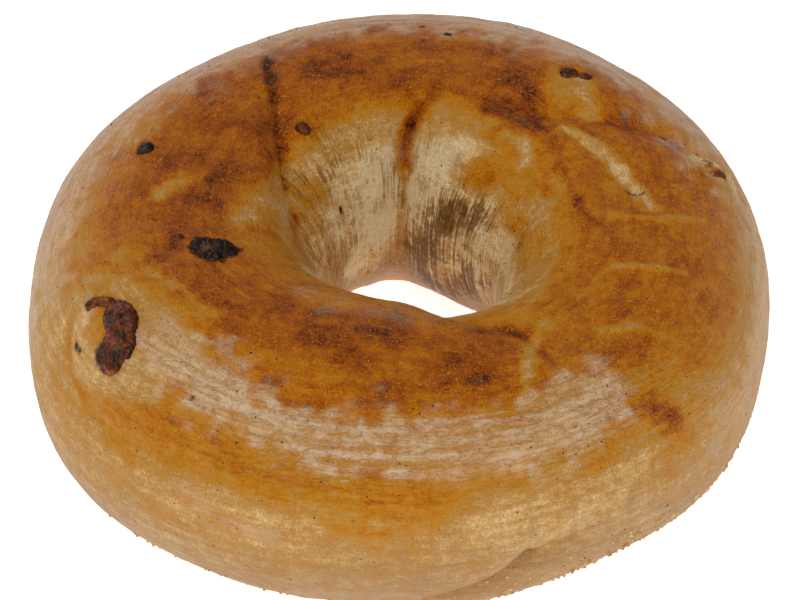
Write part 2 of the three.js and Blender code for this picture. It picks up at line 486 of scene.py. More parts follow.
@dataclass(frozen=True)
class CrustFinish:
    """Boiled and baked wheat dough: a thin gelled skin, so a satin gloss with fine pimples under it."""

    bake_stops: Stops = (
        (0.0, "#f6dcaa"),
        (0.14, "#e6b672"),
        (0.28, "#cc964e"),
        (0.4, "#d28c1c"),
        (0.52, "#ce7c00"),
        (0.65, "#bc6200"),
        (0.78, "#a04a00"),
        (0.9, "#702e02"),
        (1.0, "#2a1008"),
    )
    # The colours of rosy skin, also used for the painted sheen on the rims and the painted highlight on the
    # front shoulder.
    rose_stops: Stops = (
        (0.22, "#8a4f2a"),
        (0.42, "#c48e5a"),
        (0.62, "#d8aa7a"),
        (0.84, "#f2d6b0"),
    )
    spice_stops: Stops = (
        (0.3, "#331709"),
        (0.5, "#74421a"),
        (0.7, "#b07a38"),
    )
    # The colour of the painted glints, golden highlights painted on the grains.
    painted_glint: str = "#f0b040"
    char_and_pit_shade: str = "#341810"
    # The grey of the painted shade low on the sides and at the foot of the hole, and of the painted sheen on
    # the rims.
    painted_shade_and_sheen: str = "#a08a72"
    # The colour of char, and of the painted shade in the pits and slits.
    speck: str = "#3a1a0a"

    # Even patterns: size in millimetres, detail and roughness.
    mottle: tuple[float, ...] = (4.5, 5, 0.6)
    fine_mottle: tuple[float, ...] = (1.3, 5, 0.72)
    grain: tuple[float, ...] = (0.3, 2, 0.5)

    # Drawn patterns: millimetres along the ring and round the dough, detail and distortion.
    broad: tuple[float, ...] = (10.0, 5.0, 2, 0.8)
    along_ring: tuple[float, ...] = (14.0, 1.0, 4, 0.15)
    round_dough: tuple[float, ...] = (1.0, 14.0, 4, 0.15)
    creases: tuple[float, ...] = (3.0, 1.5, 3, 0.9)
    threads: tuple[float, ...] = (0.9, 15.0, 3, 0.3)
    drawn_roughness: float = 0.6
    crease_reach: float = 0.06
    thread_reach: float = 0.04
    thread_mottle: Pair = (-0.05, 0.12)

    # What adds up to the level of bake. A low level takes less of the clouds.
    cloud_shares: Shares = (("mottle", 0.46), ("broad", 0.5))
    cloud_bake: tuple[float, ...] = (0.15, 0.55, 0.45, 1.0)
    tone_shares: Shares = (
        ("fine_mottle", 0.5),
        ("streaks", 0.62),
        ("lines", 0.75),
        ("line", 0.08),
        ("thread", 0.3),
        ("grain", -0.4),
    )

    # Painted glints: golden highlights painted on the grains, where grain, clouds and bake let them show,
    # and how strong they are.
    glint_grain: Pair = (0.1, 0.22)
    glint_clouds: Pair = (-0.12, 0.12)
    glint_bake: Pair = (0.35, 0.65)
    glint_strength: float = 0.75

    # Dry rosy skin, which also carries painted sheen on the rims and a painted highlight along the front
    # shoulder.
    rosy_patches: Shares = (("streaks", 2.8), ("mottle", 1.0), ("fine_mottle", 0.7))
    rosy_patch_edge: Pair = (-0.1, 1.2)
    rosy_layer_edge: Pair = (0.0, 0.9)
    rosy_strength: float = 0.85
    rosy_middle: float = 0.76
    rosy_shares: Shares = (("streaks", 0.6), ("fine_mottle", 0.7), ("line", -0.13), ("grain", 0.3))

    # Painted shade and sheen, spice, and char, whose layer also holds painted shade in the pits and slits.
    painted_shade_and_sheen_middle: float = 0.8
    painted_shade_and_sheen_shares: Shares = (("clouds", 1.2),)
    spice_patches: Shares = (("round_dough", 1.9), ("fine_mottle", 1.6))
    spice_patch_edge: Pair = (0.4, 0.85)
    spice_layer_edge: Pair = (0.0, 0.3)
    spice_strength: float = 0.9
    spice_middle: float = 0.5
    spice_shares: Shares = (("fine_mottle", 0.9), ("round_dough", 0.5))
    char_and_pit_shade_patches: Shares = (("fine_mottle", 0.9), ("along_ring", 0.4))
    char_and_pit_shade_edge: Pair = (0.45, 0.75)

    # Specks: one cell in a few has one, the luckier the wider.
    speck_mm: float = 0.9
    speck_chance: float = 0.6
    speck_reach: float = 0.55
    speck_edge: float = 0.08
    speck_strength: float = 0.85

    # How many millimetres each pattern lifts the skin.
    relief_shares: Shares = (
        ("streaks", 0.95),
        ("lines", 0.6),
        ("line", -0.13),
        ("thread", -0.25),
        ("grain", 0.34),
        ("fine_mottle", 0.8),
        ("mottle", 0.4),
    )

    # The skin's gloss: smoother where it is baked, dull on specks, on char and on the painted shade in the
    # pits and slits.
    roughness: float = 0.57
    gloss_shares: Shares = (("bake", -0.3), ("rose", -0.1), ("mottle", 0.2))
    dull_roughness: float = 0.75
    index_of_refraction: float = 1.45
    specular_level: float = 0.32
    specular_tint: tuple[float, ...] = (1.0, 0.62, 0.3, 1.0)
    sheen: float = 0.03
    sheen_roughness: float = 0.4

    def material(self) -> bpy.types.Material:
        """Builds the crust's material."""
        made = new_material("baked_crust")
        tree = made.node_tree

        def attribute(name: str, output: str = "Fac") -> Socket:
            """The value that the mesh stores under a name."""
            return add_node(tree, "ShaderNodeAttribute", {"attribute_name": name}, {}).outputs[output]

        def maths(operation: str, *values) -> Socket:
            """The result of one sum on numbers or sockets."""
            found = add_node(tree, "ShaderNodeMath", {"operation": operation}, dict(enumerate(values)))
            return found.outputs[0]

        def ranged(value, low: float, high: float, start: float = 0.0, end: float = 1.0) -> Socket:
            """A value eased from one range to another."""
            sockets = {"Value": value, "From Min": low, "From Max": high, "To Min": start, "To Max": end}
            settings = {"interpolation_type": "SMOOTHSTEP"}
            return add_node(tree, "ShaderNodeMapRange", settings, sockets).outputs["Result"]

        def blended(share, first, second) -> Socket:
            """One colour laid over another."""
            settings = {"data_type": "RGBA", "blend_type": "MIX"}
            found = add_node(tree, "ShaderNodeMix", settings, {0: share, MIX_A: first, MIX_B: second})
            return found.outputs[MIX_OUT]

        def centred(value) -> Socket:
            """Noise with its middle moved to nought."""
            return maths("SUBTRACT", value, 0.5)

        def veined(value, reach: float, strength) -> Socket:
            """Thin lines where centred noise passes nought."""
            return maths("MULTIPLY", ranged(maths("ABSOLUTE", value), reach, 0.0), strength)

        place = add_node(tree, "ShaderNodeTexCoord", {}, {}).outputs["Object"]
        in_mm = add_node(tree, "ShaderNodeMapping", {}, {"Vector": place, "Scale": (1 / MM,) * 3})
        ring = attribute("ring", "Vector")
        ring_w = attribute("ring_w")

        def spread(size: float, detail: float, rough: float) -> Socket:
            """Even noise with lumps of one size in millimetres."""
            sockets = {"Vector": in_mm.outputs[0], "Scale": 1 / size, "Detail": detail, "Roughness": rough}
            return add_node(tree, "ShaderNodeTexNoise", {}, sockets).outputs["Fac"]

        def drawn(along: float, around: float, detail: float, distortion: float) -> Socket:
            """Noise drawn out over the ring: its lumps' length along the ring and round the dough."""
            scale = (1 / along, 1 / along, 1 / around)
            at = add_node(tree, "ShaderNodeMapping", {}, {"Vector": ring, "Scale": scale}).outputs[0]
            sockets = {
                "Vector": at,
                "W": maths("MULTIPLY", ring_w, 1 / around),
                "Scale": 1.0,
                "Detail": detail,
                "Roughness": self.drawn_roughness,
                "Distortion": distortion,
            }
            return add_node(tree, "ShaderNodeTexNoise", {"noise_dimensions": "4D"}, sockets).outputs["Fac"]

        patterns = {layer.value: attribute(layer.value) for layer in Layer}
        bake, rose, spice, char_and_pit_shade, painted_shade_and_sheen, wrinkle, striae = patterns.values()

        def layered(start, shares: Shares) -> Socket:
            """A value with a share of each named pattern added to it."""
            for name, share in shares:
                start = maths("MULTIPLY_ADD", patterns[name], share, start)
            return start

        patterns["mottle"] = centred(spread(*self.mottle))
        patterns["fine_mottle"] = centred(spread(*self.fine_mottle))
        patterns["grain"] = centred(spread(*self.grain))
        patterns["broad"] = centred(drawn(*self.broad))
        patterns["along_ring"] = centred(drawn(*self.along_ring))
        patterns["round_dough"] = centred(drawn(*self.round_dough))
        patterns["streaks"] = maths("MULTIPLY", patterns["along_ring"], wrinkle)
        patterns["lines"] = maths("MULTIPLY", patterns["round_dough"], striae)
        patterns["line"] = veined(centred(drawn(*self.creases)), self.crease_reach, wrinkle)
        thread = veined(centred(drawn(*self.threads)), self.thread_reach, striae)
        patterns["thread"] = maths("MULTIPLY", thread, ranged(patterns["mottle"], *self.thread_mottle))
        clouds = layered(0.0, self.cloud_shares)
        patterns["clouds"] = clouds

        tone = maths("MULTIPLY_ADD", clouds, ranged(bake, *self.cloud_bake), bake)
        colour = add_ramp(tree, layered(tone, self.tone_shares), self.bake_stops)
        # Painted highlight: golden glints painted on the grains.
        painted_glint = ranged(patterns["grain"], *self.glint_grain)
        painted_glint = maths("MULTIPLY", painted_glint, ranged(clouds, *self.glint_clouds))
        painted_glint = maths("MULTIPLY", painted_glint, ranged(bake, *self.glint_bake))
        colour = blended(maths("MULTIPLY", painted_glint, self.glint_strength), colour, linear(self.painted_glint))

        # Rosy skin over the bake, also the painted sheen on the rims and the painted highlight on the front
        # shoulder.
        patch = ranged(layered(rose, self.rosy_patches), *self.rosy_patch_edge)
        cover = maths("MULTIPLY", ranged(rose, *self.rosy_layer_edge), self.rosy_strength)
        rosy = add_ramp(tree, layered(self.rosy_middle, self.rosy_shares), self.rose_stops)
        colour = blended(maths("MULTIPLY", patch, cover), colour, rosy)

        # Painted shade low on the sides and at the foot of the hole, and painted grey sheen on the back and
        # left rims.
        painted_shade_and_sheen_cover = maths("MULTIPLY", painted_shade_and_sheen, layered(self.painted_shade_and_sheen_middle, self.painted_shade_and_sheen_shares))
        colour = blended(painted_shade_and_sheen_cover, colour, linear(self.painted_shade_and_sheen))

        patch = ranged(layered(spice, self.spice_patches), *self.spice_patch_edge)
        cover = maths("MULTIPLY", patch, ranged(spice, *self.spice_layer_edge))
        spiced = add_ramp(tree, layered(self.spice_middle, self.spice_shares), self.spice_stops)
        colour = blended(maths("MULTIPLY", cover, self.spice_strength), colour, spiced)
        # Char, and painted shade in the pits and slits.
        burnt = ranged(layered(char_and_pit_shade, self.char_and_pit_shade_patches), *self.char_and_pit_shade_edge)
        colour = blended(burnt, colour, linear(self.char_and_pit_shade))

        sockets = {"Vector": in_mm.outputs[0], "Scale": 1 / self.speck_mm, "Randomness": 1.0}
        cells = add_node(tree, "ShaderNodeTexVoronoi", {}, sockets)
        chance = add_node(tree, "ShaderNodeSeparateColor", {}, {0: cells.outputs["Color"]}).outputs[0]
        reach = maths("MULTIPLY", maths("SUBTRACT", chance, self.speck_chance), self.speck_reach)
        speck = ranged(maths("SUBTRACT", reach, cells.outputs["Distance"]), 0.0, self.speck_edge)
        colour = blended(maths("MULTIPLY", speck, self.speck_strength), colour, linear(self.speck))

        height = layered(0.0, self.relief_shares)
        bump = add_node(tree, "ShaderNodeBump", {}, {"Strength": 1.0, "Distance": MM, "Height": height})
        dull = maths("MULTIPLY", maths("MAXIMUM", speck, char_and_pit_shade), self.dull_roughness)
        sockets = {
            "Base Color": colour,
            "Roughness": maths("MAXIMUM", layered(self.roughness, self.gloss_shares), dull),
            "Normal": bump.outputs["Normal"],
            "IOR": self.index_of_refraction,
            "Specular IOR Level": self.specular_level,
            "Specular Tint": self.specular_tint,
            "Sheen Weight": self.sheen,
            "Sheen Roughness": self.sheen_roughness,
        }
        add_surface(tree, sockets)
        return made


# Fine creases and ridges that only the crust has.
CREASES: dict[str, Fold] = {
    "left tuck line": Fold(
        ((121, 78), (125, 90), (129, 101), (134, 112), (141, 127), (150, 140), (158, 156)), 0.7, 0.8
    ),
    "far groove line": Fold(
        ((81, 114), (85, 124), (87, 136), (87.5, 152), (89, 170), (90, 188), (91, 214)), 0.7, 0.9
    ),
    "inner right line": Fold(((11.8, 135.6), (10, 151), (12.7, 165), (19.5, 183)), 0.6, 0.5),
    "outer right line": Fold(((5.5, 144), (4.7, 160), (15, 181)), 0.6, 0.5),
    "front tuck line": Fold(((290, 112), (297, 107), (301, 104), (303.5, 95), (303, 86)), 0.8, 0.8),
    "front ridge": Fold(((310, 98), (300, 84), (296, 74), (293, 62)), 1.3, -0.45),
    "back seam line": Fold(
        ((55, 109), (44.5, 100), (38, 90), (30.5, 81), (24.5, 69), (16, 57)), 0.8, 0.6
    ),
    "scar edge": Fold(((36, 101), (25, 97.5), (15, 94.5), (7, 91)), 0.6, 0.6),
    "scar ridge": Fold(((34, 97), (25, 94), (15, 91.5), (8, 88.5), (0, 84)), 0.7, -0.4),
    "first raised line": Fold(((357, 99), (356, 84), (358, 65)), 0.8, -0.3),
    "second raised line": Fold(((337.5, 94), (340, 83), (342, 70)), 0.8, -0.35),
    "third raised line": Fold(((317.5, 82), (323, 76), (326, 65)), 0.8, -0.3),
    "split line": Fold(((20, 56), (17, 48), (13, 38), (11, 32)), 0.7, 0.9),
    "split ridge": Fold(((18, 62), (15, 55), (12, 46), (10, 40)), 1.0, -0.8),
    "split pit": Fold(((20, 64), (18, 60)), 0.8, 0.8),
    "scar pit": Fold(((6.5, 92), (5.5, 88)), 0.8, 0.8),
    "lip line": Fold(
        ((273, -31), (281, -22), (285.5, -17.5), (289, -9.5), (292.8, -4.8), (298, -3.4)), 0.7, 0.9
    ),
    "lip pit": Fold(((289, -8.5), (291.4, -5.6)), 1.0, 1.6),
    "wall slit": Fold(((124, 166), (124, 156)), 0.6, 1.2),
    "blister crease": Fold(
        ((202, 49), (208, 34), (214.5, 27), (221, 24), (229, 26), (236, 26)), 0.9, 0.3
    ),
    "blister rim": Fold(((198, 66), (203, 72), (209.5, 79), (217, 81), (224, 79), (231, 84)), 1.0, -0.35),
    "first scratch": Fold(((262, 56), (261.5, 46), (261, 38)), 0.6, -0.25),
    "second scratch": Fold(((271, 56), (269.5, 46), (268.5, 38)), 0.6, -0.2),
}

# The marks on each layer, in the order that they are laid.
MARKS: dict[Layer, dict[str, Mark]] = {
    Layer.BAKE: {
        # Broad fields of bake, outer belt first.
        "left flank": Mark(0.26, ((186, 32), (200, 22), (215, 10)), 8, 5),
        "left flank tan": Mark(0.4, ((160, 58), (174, 52), (187, 50)), 6, 4),
        "golden belt": Mark(0.47, ((214, 37), (228, 34), (245, 31), (262, 28), (276, 26)), 3.4, 2.6),
        "straw belt": Mark(0.37, ((281, 26), (295, 30), (310, 32)), 4, 3),
        "front side": Mark(0.27, ((225, 5), (245, 2), (268, 2)), 5, 4),
        "pale front side": Mark(0.17, ((284, 13), (300, 12), (314, 8)), 5, 4),
        "right flank": Mark(0.31, ((320, 20), (340, 28), (360, 35)), 8, 5),
        # The browned crown.
        "front crown": Mark(0.68, ((226, 92), (250, 95), (270, 92), (290, 88)), 5, 4),
        "front slope": Mark(0.52, ((226, 74), (242, 72), (256, 72)), 3, 3),
        "front slope right": Mark(0.62, ((262, 74), (277, 74)), 3, 3),
        "left crown": Mark(0.71, ((180, 84), (204, 87), (222, 90)), 7, 4),
        "left shoulder": Mark(0.6, ((165, 72), (180, 74), (194, 76)), 4, 4),
        "left inner crown": Mark(0.56, ((190, 126), (205, 124), (225, 122), (250, 118)), 5, 4),
        "back left saddle": Mark(0.74, ((140, 106), (152, 106), (166, 106), (178, 97)), 5, 4),
        "back crown": Mark(0.66, ((70, 96), (84, 100), (106, 95), (122, 96)), 6, 4),
        "pale back right": Mark(0.4, ((40, 92), (48, 88)), 2.5, 2),
        "right back crown": Mark(0.57, ((6, 104), (22, 98), (34, 100)), 5, 4),
        "right crown": Mark(0.58, ((303, 92), (331, 95), (350, 90)), 8, 5),
        "right inner crown": Mark(0.42, ((310, 116), (330, 124), (348, 126), (364, 128)), 4, 5),
        "right shoulder": Mark(0.57, ((327, 70), (347, 66), (362, 68)), 6, 4),
        "right outer brown": Mark(0.56, ((326, 50), (340, 48)), 3, 3),
        "straw right shoulder": Mark(0.4, ((300, 60), (313, 56), (320, 52)), 3, 3),
        "amber spot": Mark(0.72, ((315, 42), (317, 36), (317.5, 32)), 1.4, 2.0),
        # The wall of the hole: pale crumb, and on the far and right walls kept paler still as painted light.
        "far wall": Mark(-0.06, ((94, 142), (104, 152), (108, 172)), 5, 4),
        "far wall left": Mark(0.02, ((122, 150), (124, 170), (118, 190)), 3, 3),
        "left wall": Mark(0.4, ((142, 146), (154, 150), (166, 152), (178, 146)), 3.5, 3),
        "far wall top": Mark(0.24, ((58, 128), (70, 125), (98, 129), (116, 131)), 2.4, 2.4),
        "far wall right": Mark(-0.06, ((56, 134), (66, 140), (76, 146), (81, 158)), 4, 3),
        "right wall": Mark(0.06, ((318, 142), (340, 152), (8, 162), (22, 180)), 7, 5),
        "right wall gold": Mark(0.38, ((330, 132), (350, 138), (6, 140), (18, 140)), 3, 3),
        "golden lobe": Mark(0.48, ((48, 136), (36, 128), (20, 122)), 3.4, 2.4),
        # Thin stains and dark lines. Along the folds the dark lines only darken the crust; down the crevice
        # of the left tuck the dark line is painted shade.
        "dark streak": Mark(0.84, ((60, 107), (52, 106), (44, 107)), 1.3, 1.3),
        "brown streak": Mark(
            0.78, ((44, 107), (36.5, 106), (25, 110), (14, 114), (-1, 110), (-9, 102)), 0.6, 0.9, 1.4
        ),
        "lobe outline": Mark(0.7, ((38, 122), (29, 119), (20, 120), (13, 124)), 0.3, 0.6, 1.6, 0.8),
        "lobe cream": Mark(0.2, ((46, 116), (38, 116), (33, 121)), 1.0, 1.2, 1.6),
        "lower lobe cream": Mark(0.26, ((16, 126), (8, 128), (4, 134)), 1.4, 1.4, 1.6),
        "small lobe cream": Mark(0.3, ((17, 117), (12, 116)), 0.8, 0.8, 1.6),
        "far lobe gold": Mark(0.34, ((76, 118), (66, 116), (58, 117)), 1.8, 1.8, 1.2),
        "cream shoulder patch": Mark(0.3, ((171, 95), (174, 91), (177, 87)), 1.1, 1.1, 1.8),
        "cream inner patch": Mark(0.24, ((186, 114), (180, 119), (176, 123), (166, 128)), 1.2, 1.6, 1.6),
        "cream front patch": Mark(0.3, ((196, 71), (204, 80), (214, 84), (226, 82)), 1.0, 1.6, 1.8),
        "band smudge": Mark(0.84, ((242, 68), (245, 69)), 0.5, 0.7, 1.4),
        "left tuck darkening": Mark(0.92, ((121, 78), (124, 88), (127, 98)), 0.9, 0.8, 1.2),
        # Painted shade down the crevice of the left tuck, where it runs into the hole.
        "left tuck line": Mark(
            0.84, ((127, 98), (134, 112), (142, 128), (151, 143), (158, 158)), 0.3, 0.5, 1.2
        ),
        "far groove darkening": Mark(0.84, ((79, 106), (85, 123), (87.5, 134), (87.5, 146)), 1.0, 1.0),
        "far groove line": Mark(0.44, ((87.5, 146), (89, 170), (90, 190), (91, 214)), 0.2, 0.6, 1.4, 0.7),
        "front tuck darkening": Mark(0.8, ((286, 112), (294, 109), (301, 105), (304, 95)), 0.9, 1.0),
        "front tuck foot": Mark(0.76, ((303, 88), (303, 77)), 0.6, 0.8),
        "scar": Mark(0.14, ((36, 100), (25, 96), (15, 93), (8, 90)), 0.9, 0.6, 1.3),
        "scar foot": Mark(0.16, ((6, 89), (0, 85)), 1.0, 0.8),
        "front ridge": Mark(0.26, ((310, 98), (302, 87), (297, 76), (293, 64)), 0.9, 0.9, 1.2),
        "first raised line": Mark(0.32, ((357, 99), (356, 84), (358, 65)), 0.5, 0.6, 1.0, 0.85),
        "second raised line": Mark(0.24, ((337.5, 94), (340, 83), (342, 70)), 0.5, 0.5, 1.0, 0.9),
        "third raised line": Mark(0.3, ((317.5, 82), (323, 76), (326, 65)), 0.5, 0.6, 1.0, 0.85),
        "back right shade": Mark(0.8, ((30, 79), (24, 74), (20, 66)), 1.6, 2.0),
        "back right red": Mark(0.8, ((62, 90), (56, 96), (50, 99)), 1.6, 2.0, 1.4),
        "back left red": Mark(0.78, ((112, 92), (106, 96), (96, 100)), 2.0, 2.4, 1.4),
        "front amber": Mark(0.8, ((232, 96), (244, 92), (256, 90), (268, 94)), 2.2, 2.4, 1.6),
        "front amber right": Mark(0.78, ((280, 88), (288, 84), (292, 92)), 1.6, 2.0, 1.6),
        "back seam darkening": Mark(0.8, ((60, 110), (52, 106), (44, 101)), 0.9, 0.9),
        "back raisin skin": Mark(0.24, ((46, 80), (41, 84), (36, 86)), 1.4, 1.2),
        "split torn skin": Mark(0.14, ((17, 58), (13, 53), (10.5, 45)), 1.5, 0.8, 1.8),
        "lip shade": Mark(
            0.6, ((273, -31), (281, -22), (285.5, -17.5), (289, -9.5), (292.8, -4.8), (298, -3.4)),
            0.15, 0.5
        ),
        # The blister round the large raisin.
        "blister skin": Mark(0.2, ((202, 50), (206, 44), (214, 42), (222, 48)), 3.6, 2),
        "hook opening": Mark(0.1, ((205, 54), (206, 49)), 1.3, 0.8),
        "blister top": Mark(0.26, ((200, 62), (208, 71), (219, 72), (228, 66)), 2.6, 2),
        "blister golden edge": Mark(0.52, ((200, 70), (209, 79), (218, 81), (226, 79)), 0.7, 0.8),
        "blister foot line": Mark(
            0.5, ((203, 46), (208, 34), (214.5, 27), (221, 24), (229, 26)), 0.5, 0.7
        ),
        # Stains on the side.
        "brown stain": Mark(0.56, ((241.5, 11), (245, 9)), 1.0, 1.2),
        "smaller stain": Mark(0.5, ((235, 13), (237, 13)), 0.8, 1.0),
        "amber stain": Mark(0.5, ((258, 17), (263, 14), (268, 13)), 0.6, 0.8),
        "left wall smear": Mark(0.44, ((222, 22), (226, 20)), 1.2, 1.5),
        "dark shade": Mark(0.86, ((167, 104), (169, 103)), 1.0, 1.2),
        # Burnt places.
        "burnt smear": Mark(0.82, ((192, 92), (198, 90)), 1.0, 1.0),
    },
    Layer.SPICE: {
        "spice stain": Mark(
            0.8, ((38, 152), (56, 158), (68, 172), (76, 188), (66, 204), (46, 196), (34, 180)), 3.4, 3.4
        ),
        "left wall stain": Mark(0.45, ((142, 132), (148, 142), (156, 156), (164, 170)), 2.6, 2.4),
        "low wall stain": Mark(0.4, ((100, 200), (112, 196)), 2.6, 2.4),
        "lens": Mark(1.0, ((58, 107.5), (52, 107), (45, 108)), 0.5, 0.5),
        # Painted shade in the scar's pit.
        "scar pit": Mark(0.9, ((6.8, 92), (5.2, 87.5)), 0.5, 0.4),
    },
    Layer.CHAR_AND_PIT_SHADE: {
        "band dot": Mark(0.8, ((231.8, 52.4), (232.4, 52.4)), 0.35, 0.3),
        "side dot": Mark(0.8, ((314.8, -8), (315.4, -7)), 0.4, 0.3),
        # The next four marks are painted shade in the split, the lip pit and the wall slit.
        "split slit": Mark(0.7, ((19, 55), (16.5, 48), (14, 40)), 0.25, 0.4),
        "split pit": Mark(0.8, ((15.5, 58), (12, 52)), 0.35, 0.5, 1.4),
        "lip pit": Mark(0.8, ((289.2, -7.8), (291, -6)), 0.5, 0.5),
        "wall slit": Mark(0.9, ((124, 164), (124, 159)), 0.25, 0.25),
        "burnt edge": Mark(0.8, ((197, 100), (201, 97), (206, 101), (204, 107)), 1.6, 0.8, 1.5),
        "burnt dot": Mark(0.9, ((194, 93), (194.6, 93)), 0.5, 0.4),
        "left dot": Mark(0.9, ((186.6, 86), (187, 86.5)), 0.4, 0.4),
        "raisin crumb": Mark(0.8, ((208, 42), (209.5, 42)), 0.7, 0.5),
        "rim dot one": Mark(0.9, ((85, 73), (85.6, 73)), 0.5, 0.4),
        "rim dot two": Mark(0.9, ((79, 78), (79.8, 77.6)), 0.5, 0.4),
        "rim dot three": Mark(0.7, ((96, 74), (97, 74)), 0.4, 0.4),
        "back right dot": Mark(0.9, ((23, 69), (23.6, 69)), 0.6, 0.5),
        "back right smear": Mark(0.6, ((36, 74), (38, 73)), 0.6, 0.6),
    },
    Layer.ROSE: {
        "stain halo": Mark(0.6, ((236, 15), (243, 11), (250, 6)), 2.2, 1.6),
        # Rosy skin along the front shoulder, in this mark and the next two, partly a painted highlight where
        # the front light falls.
        "rosy shoulder and highlight": Mark(
            1.0, ((224, 62), (240, 56), (256, 50), (275, 50), (292, 52), (308, 60)), 4.2, 4.5, 0.8
        ),
        "rosy lower right": Mark(0.8, ((280, 44), (294, 44), (308, 50)), 3, 4, 0.8),
        "rosy blister side": Mark(0.8, ((220, 64), (234, 66)), 3, 4, 0.8),
        "rosy low wall": Mark(0.3, ((0, 216), (90, 214), (180, 214), (270, 214), (359, 216)), 5, 5, 1.0),
        # Painted sheen on the back rim.
        "back rim rosy sheen": Mark(
            0.65, ((18, 56), (60, 62), (100, 62), (140, 58), (166, 48), (190, 38)), 6, 5, 1.2
        ),
        # Painted sheen along the front of the hole's rim.
        "front inner rosy sheen": Mark(0.45, ((238, 112), (262, 110), (282, 110)), 3.4, 3, 1.4),
        "rosy wall": Mark(0.6, ((62, 134), (74, 136), (82, 140)), 3, 2.4, 1.2),
        # Painted sheen on the right and left rims.
        "right rim rosy sheen": Mark(0.6, ((330, 12), (350, 22), (368, 38)), 6, 5, 1.2),
        "left rim rosy sheen": Mark(0.7, ((160, 40), (176, 28), (190, 14)), 6, 6, 1.2),
    },
    # Painted shade low on the sides and at the foot of the hole; painted grey sheen on the back and left
    # rims.
    Layer.PAINTED_SHADE_AND_SHEEN: {
        "low side painted shade": Mark(0.5, ((0, -22), (90, -24), (180, -22), (270, -24), (359, -22)), 8, 7),
        "back rim grey sheen": Mark(0.34, ((28, 44), (60, 52), (100, 54), (140, 48), (160, 38)), 4, 5),
        "left rim grey sheen": Mark(0.34, ((160, 34), (176, 24), (192, 10)), 4, 6),
        "hole foot painted shade": Mark(0.5, ((0, 214), (90, 212), (180, 214), (270, 214), (359, 214)), 5, 4),
    },
    Layer.WRINKLE: {
        "front wrinkles": Mark(1.0, ((222, 52), (240, 48), (270, 45), (300, 48), (312, 55)), 8, 5),
        "back rim wrinkles": Mark(0.8, ((10, 55), (60, 66), (110, 66), (160, 56), (200, 36)), 9, 6),
        "low side wrinkles": Mark(0.6, ((190, 0), (230, -12), (270, -20), (310, -12)), 8, 6),
    },
    Layer.STRIAE: {
        "hole striae": Mark(0.8, ((0, 172), (90, 168), (180, 170), (270, 170), (359, 172)), 13, 8),
        "spice striae": Mark(1.2, ((50, 160), (66, 176), (60, 200)), 6, 5),
        "side ripples": Mark(0.3, ((304, 14), (318, 20), (332, 24)), 5, 5),
        "left wall striae": Mark(1.2, ((135, 138), (150, 150), (160, 168)), 6, 5),
    },
}


